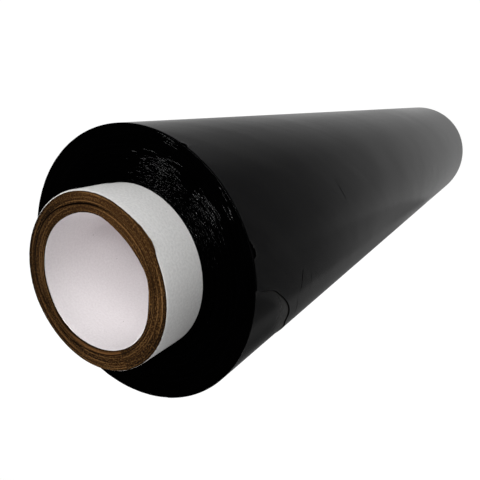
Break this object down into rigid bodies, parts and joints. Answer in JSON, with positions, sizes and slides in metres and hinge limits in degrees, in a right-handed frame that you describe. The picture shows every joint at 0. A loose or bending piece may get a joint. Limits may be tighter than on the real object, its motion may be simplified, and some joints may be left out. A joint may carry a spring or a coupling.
{
  "type": "stretch wrap roll",
  "caption": "Full hand roll of black stretch film wound on a paper core that stands out at both ends, for wrapping loads.",
  "frame": {"origin": "centre of the lower core end, on the surface that the roll stands on", "axes": "+Z along the core from the lower end to the upper, which is the end with the torn film corner and the split plies; the free tail of the film is 170 degrees round from +X towards +Y"},
  "size_m": [0.1079, 0.1078, 0.54],
  "materials": {
    "kraft_board": "matte, cut across its plies at both ends",
    "white_paper": "matte, smooth",
    "liner_paper": "matte, smooth",
    "black_film": "satin gloss, tightly wound"
  },
  "bodies": {
    "root": {"kraft_tube": "kraft_board", "outer_ply": "white_paper", "inner_ply": "liner_paper", "stretch_film": "black_film"}
  },
  "joints": []
}
